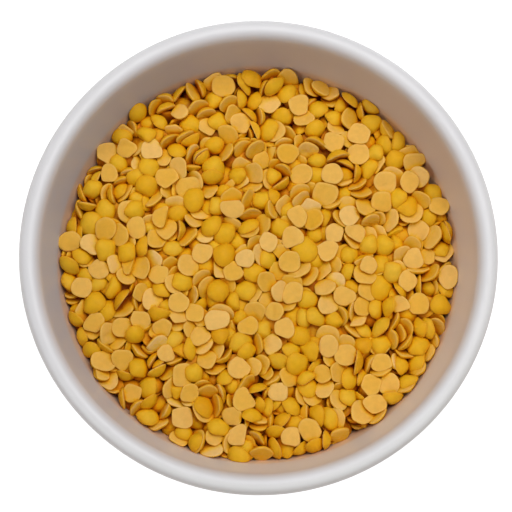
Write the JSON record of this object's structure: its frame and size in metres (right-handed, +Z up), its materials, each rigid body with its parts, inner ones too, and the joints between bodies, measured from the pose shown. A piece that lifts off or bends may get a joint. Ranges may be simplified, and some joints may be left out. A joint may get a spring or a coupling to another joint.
{
  "type": "dish of toor dal",
  "caption": "Small round white bowl with a rounded lip and a foot ring, filled with a low heap of dry yellow split pigeon peas (toor dal), for a larder, kitchen or market table.",
  "frame": {"origin": "centre of the foot ring, on the table", "axes": "+Z up along the bowl's axis, -Y towards the viewer of the picture, +X to the viewer's right"},
  "size_m": [0.115, 0.115, 0.054],
  "materials": {
    "glaze": "gloss",
    "dal": "matte"
  },
  "bodies": {
    "root": {"bowl": "glaze", "dal_heap": "dal"}
  },
  "joints": []
}
